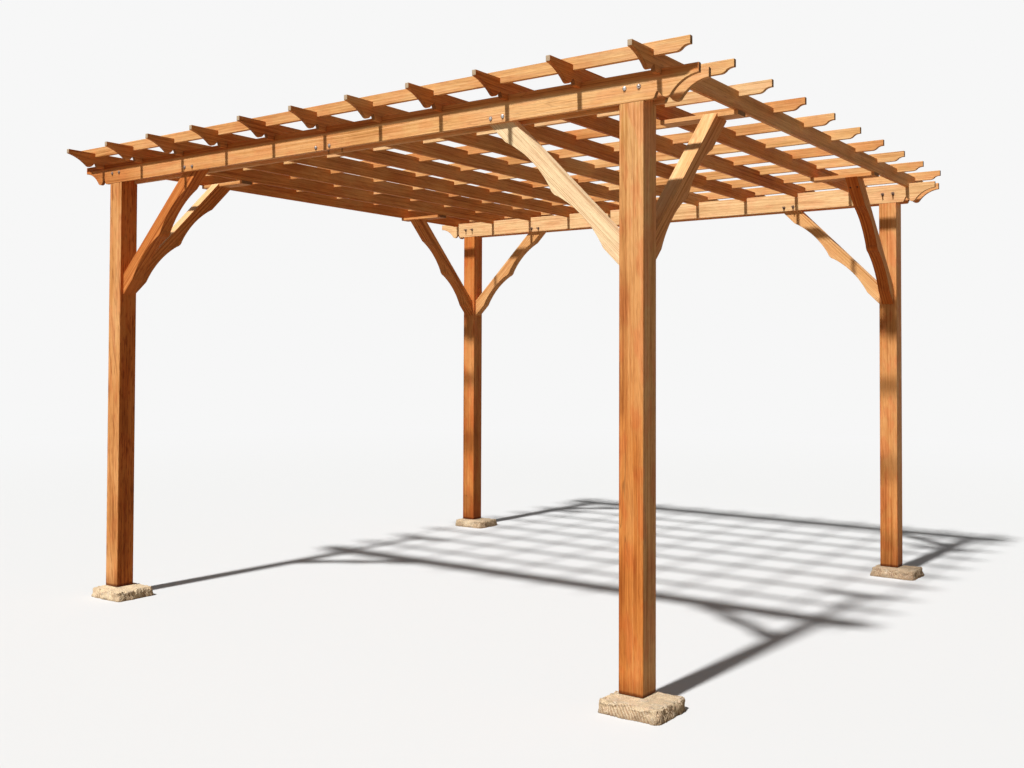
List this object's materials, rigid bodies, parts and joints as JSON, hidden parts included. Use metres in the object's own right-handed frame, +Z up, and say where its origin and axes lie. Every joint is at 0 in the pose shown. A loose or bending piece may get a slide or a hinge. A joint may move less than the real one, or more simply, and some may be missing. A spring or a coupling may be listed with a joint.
{
  "type": "wooden pergola",
  "caption": "Free-standing open timber pergola on square posts, with doubled beams, curved braces, shaped rafters and slats over them.",
  "frame": {"origin": "bottom centre of the bounding box, on the ground", "axes": "+X along the beams, +Y from front to back, +Z up"},
  "size_m": [4.37, 4.366, 2.855],
  "materials": {
    "stone": "rough-hewn pale stone",
    "post_timber": "oiled hardwood",
    "beam_timber": "oiled hardwood",
    "brace_timber": "oiled hardwood",
    "rafter_timber": "oiled hardwood",
    "slat_timber": "oiled hardwood"
  },
  "bodies": {
    "root": {"stone_front_left": "stone", "stone_front_right": "stone", "stone_back_left": "stone", "stone_back_right": "stone", "post_front_left": "post_timber", "post_front_right": "post_timber", "post_back_left": "post_timber", "post_back_right": "post_timber", "beam_front_outer": "beam_timber", "beam_front_inner": "beam_timber", "beam_back_outer": "beam_timber", "beam_back_inner": "beam_timber", "beam_brace_front_left": "brace_timber", "beam_brace_front_right": "brace_timber", "beam_brace_back_left": "brace_timber", "beam_brace_back_right": "brace_timber", "side_brace_front_left": "brace_timber", "side_brace_front_right": "brace_timber", "side_brace_back_left": "brace_timber", "side_brace_back_right": "brace_timber", "cross_board_front_left": "brace_timber", "cross_board_front_right": "brace_timber", "cross_board_back_left": "brace_timber", "cross_board_back_right": "brace_timber", "rafter_01": "rafter_timber", "rafter_02": "rafter_timber", "rafter_03": "rafter_timber", "rafter_04": "rafter_timber", "rafter_05": "rafter_timber", "rafter_06": "rafter_timber", "rafter_07": "rafter_timber", "rafter_08": "rafter_timber", "rafter_09": "rafter_timber", "rafter_10": "rafter_timber", "rafter_11": "rafter_timber", "slat_01": "slat_timber", "slat_02": "slat_timber", "slat_03": "slat_timber", "slat_04": "slat_timber", "slat_05": "slat_timber", "slat_06": "slat_timber", "slat_07": "slat_timber", "slat_08": "slat_timber", "slat_09": "slat_timber", "slat_10": "slat_timber"}
  },
  "joints": []
}
